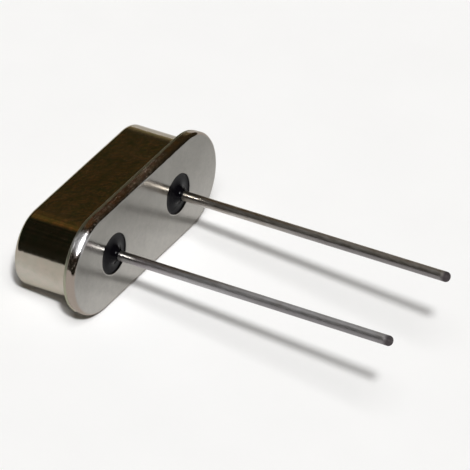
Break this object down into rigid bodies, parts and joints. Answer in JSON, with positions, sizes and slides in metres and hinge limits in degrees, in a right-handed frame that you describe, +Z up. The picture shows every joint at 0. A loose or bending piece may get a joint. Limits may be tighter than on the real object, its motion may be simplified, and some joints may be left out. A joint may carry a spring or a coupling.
{
  "type": "quartz crystal unit",
  "caption": "Low-profile quartz crystal in an obround flanged metal can on a steel base, with straight wire leads through dark glass seals; it sets the frequency of an oscillator.",
  "frame": {"origin": "centre of the seating face, midway between the leads", "axes": "+X along the row of leads, -Y the way the leads point as seen from above, +Z up with the unit lying on its broad side: it rests on the edge of its flange and the closed edge of its can, so the leads rise towards their tips by the rest angle of 10.2 degrees"},
  "size_m": [0.011, 0.0164, 0.0047],
  "materials": {
    "nickel_plated_can": "bright nickel plating on drawn sheet",
    "plated_steel_base": "satin nickel plating on pressed steel",
    "seal_glass": "dark opaque sealing glass, fire polished",
    "lead_wire": "tinned wire, drawn",
    "clip_nickel": "bright rolled nickel strip",
    "quartz": "lapped clear quartz",
    "electrode_silver": "vapour-deposited silver",
    "conductive_cement": "silver-filled cement, cured"
  },
  "bodies": {
    "root": {"metal_can": "nickel_plated_can", "base_plate": "plated_steel_base", "glass_seal_left": "seal_glass", "glass_seal_right": "seal_glass", "lead_left": "lead_wire", "lead_right": "lead_wire", "spring_clip_left": "clip_nickel", "spring_clip_right": "clip_nickel", "quartz_blank": "quartz", "electrode_can_side": "electrode_silver", "electrode_base_side": "electrode_silver", "cement_left": "conductive_cement", "cement_right": "conductive_cement"}
  },
  "joints": []
}
